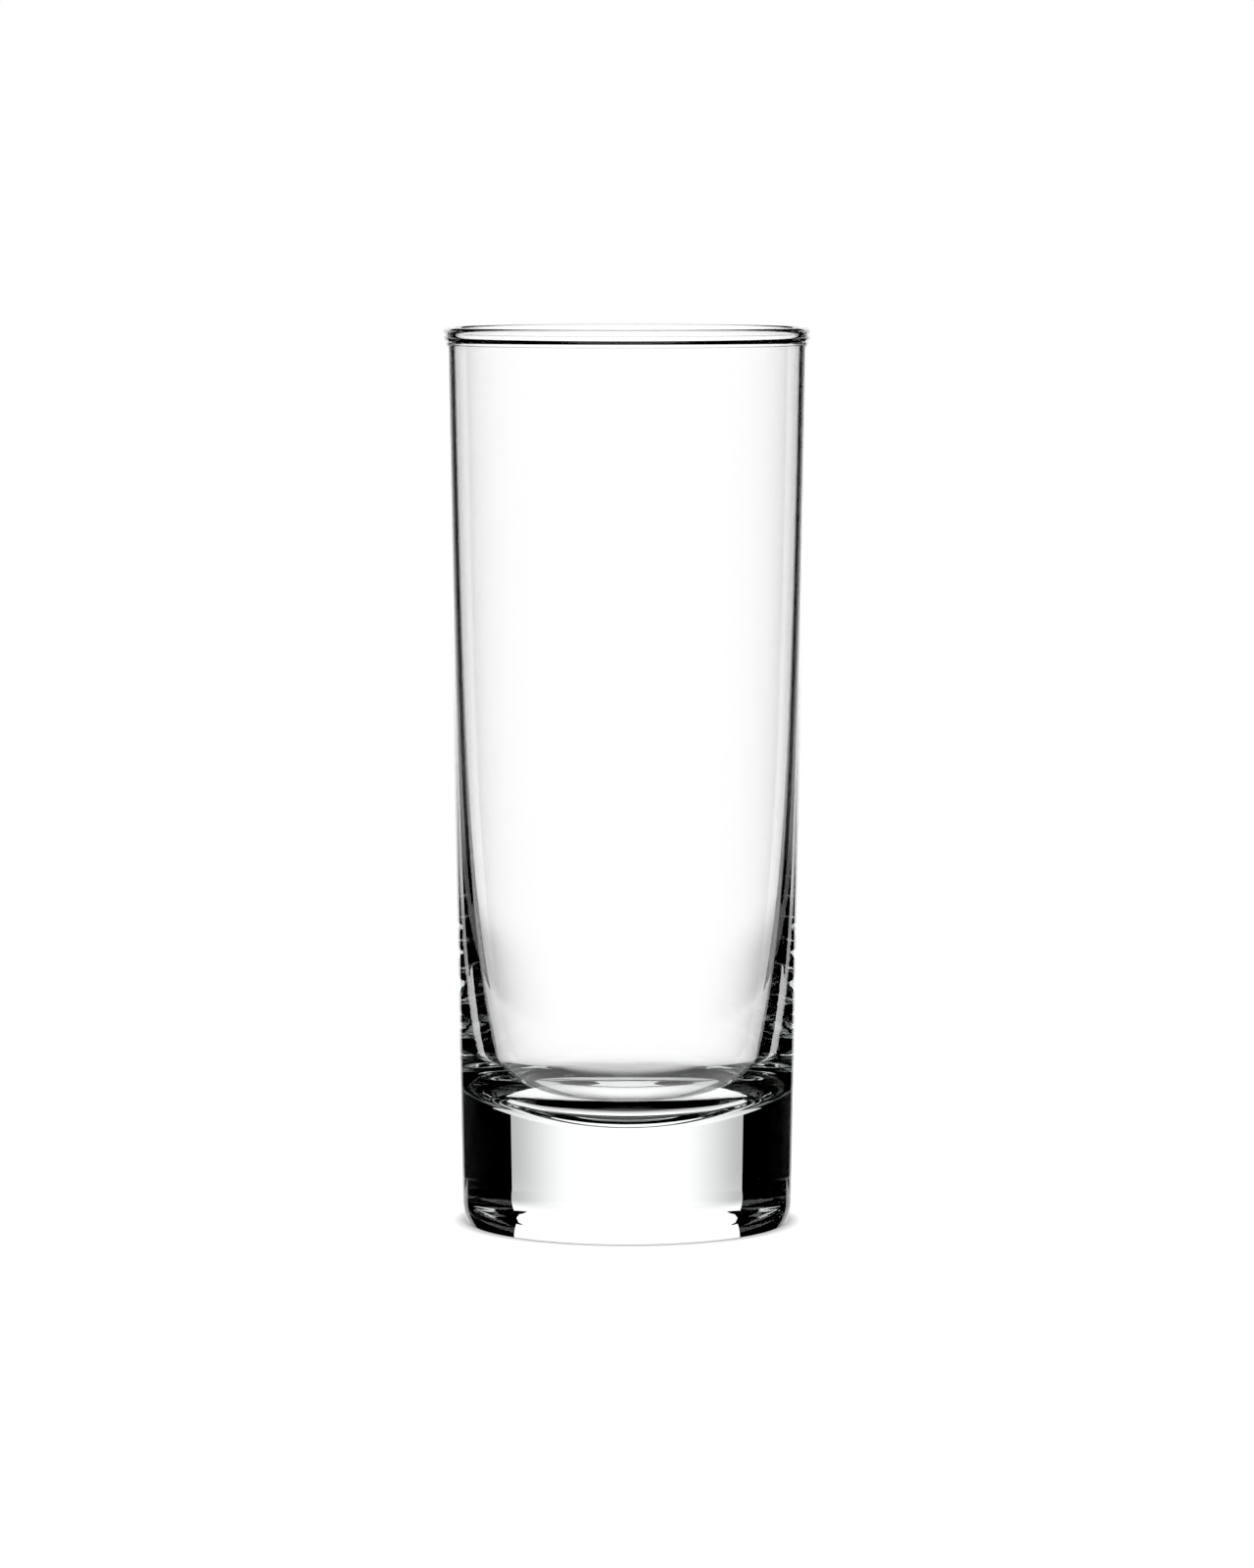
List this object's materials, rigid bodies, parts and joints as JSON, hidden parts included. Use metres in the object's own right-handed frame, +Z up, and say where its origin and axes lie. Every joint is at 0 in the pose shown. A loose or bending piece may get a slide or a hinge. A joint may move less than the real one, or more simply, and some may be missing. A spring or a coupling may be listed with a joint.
{
  "type": "juice glass",
  "caption": "Tall clear juice glass with a straight, slightly widening wall, a heavy solid base, a bowl-shaped inside floor and a rounded fire-polished rim.",
  "frame": {"origin": "centre of the base, level with the table that the glass stands on", "axes": "+Z up along the glass's axis of symmetry, +X and +Y level and interchangeable"},
  "size_m": [0.055, 0.055, 0.1345],
  "materials": {
    "clear_glass": "clear soda-lime glass, fire-polished"
  },
  "bodies": {
    "root": {"heavy_base": "clear_glass", "side_wall": "clear_glass", "rim_bead": "clear_glass"}
  },
  "joints": []
}
